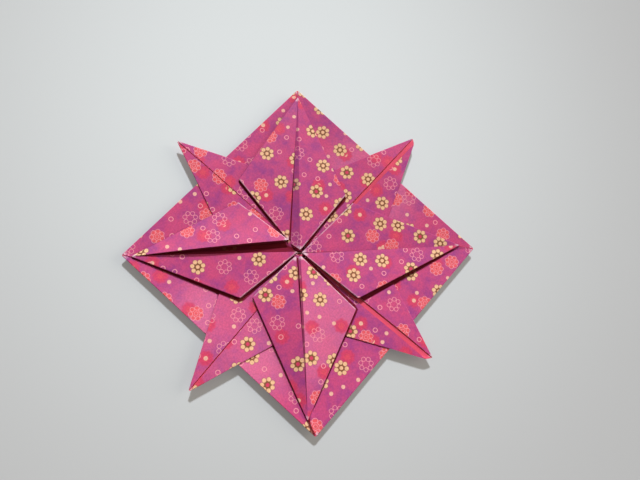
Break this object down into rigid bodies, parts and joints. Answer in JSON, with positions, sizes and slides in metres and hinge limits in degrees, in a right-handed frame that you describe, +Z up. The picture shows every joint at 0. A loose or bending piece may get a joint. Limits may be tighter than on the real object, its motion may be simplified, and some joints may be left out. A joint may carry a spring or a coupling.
{
  "type": "origami compass rose",
  "caption": "Flat-folded square paper star with a diamond base, short diagonal points and long slit petals that meet in the middle.",
  "frame": {"origin": "middle of the star, on the surface it lies on", "axes": "+Z up out of the petals; the diamond's corners lie on +X, +Y, -X and -Y, and the short points lie on the diagonals"},
  "size_m": [0.0878, 0.0878, 0.0028],
  "materials": {
    "printed_paper": "uncoated printed paper with a plain pink-red reverse"
  },
  "bodies": {
    "root": {"folded_sheet": "printed_paper"}
  },
  "joints": []
}
